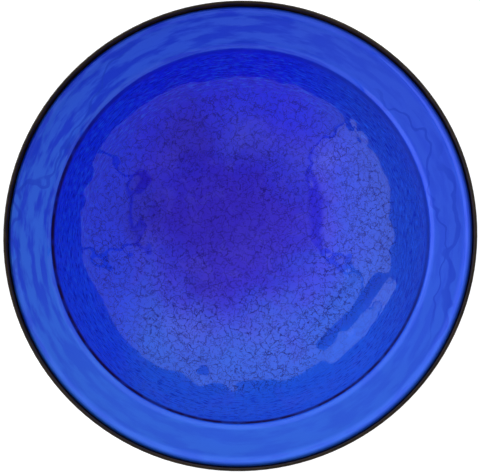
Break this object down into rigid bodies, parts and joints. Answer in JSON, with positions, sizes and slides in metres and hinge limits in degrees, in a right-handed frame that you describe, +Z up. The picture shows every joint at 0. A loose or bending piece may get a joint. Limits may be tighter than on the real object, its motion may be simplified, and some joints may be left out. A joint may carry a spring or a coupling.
{
  "type": "bird bath",
  "caption": "Round cobalt crackle-glass bird bath bowl with a wide flange, resting in a dark steel hoop on low scroll legs; the bowl lifts out.",
  "frame": {"origin": "on the ground, under the middle of the bowl", "axes": "+Z up, out of the bowl's mouth; -Y is the front, between two legs; +X to the right seen from the front"},
  "size_m": [0.356, 0.356, 0.13],
  "materials": {
    "cobalt_glass": "glossy, crackled, mirror-backed",
    "backing_paint": "satin paint over silvering",
    "powder_coat": "semi-gloss dark bronze powder coat",
    "clear_silicone": "translucent silicone",
    "blackened_steel": "blackened",
    "foot_rubber": "matte"
  },
  "bodies": {
    "stand": {"rim_hoop": "powder_coat", "tie_hoop": "powder_coat", "bumper_1": "clear_silicone", "bumper_2": "clear_silicone", "bumper_3": "clear_silicone", "bumper_4": "clear_silicone", "bumper_5": "clear_silicone", "bumper_6": "clear_silicone", "leg_1": "powder_coat", "leg_2": "powder_coat", "leg_3": "powder_coat", "leg_screw_1": "blackened_steel", "leg_screw_2": "blackened_steel", "leg_screw_3": "blackened_steel", "leg_nut_1": "blackened_steel", "leg_nut_2": "blackened_steel", "leg_nut_3": "blackened_steel", "tie_screw_1": "blackened_steel", "tie_screw_2": "blackened_steel", "tie_screw_3": "blackened_steel", "tie_nut_1": "blackened_steel", "tie_nut_2": "blackened_steel", "tie_nut_3": "blackened_steel", "foot_1": "foot_rubber", "foot_2": "foot_rubber", "foot_3": "foot_rubber"},
    "bowl": {"glass_bowl": "cobalt_glass", "backing_coat": "backing_paint"}
  },
  "joints": [
    {"name": "bowl_lift", "type": "slide", "parent": "stand", "child": "bowl", "axis": [0, 0, 1], "range_m": [0, 0.09]}
  ]
}
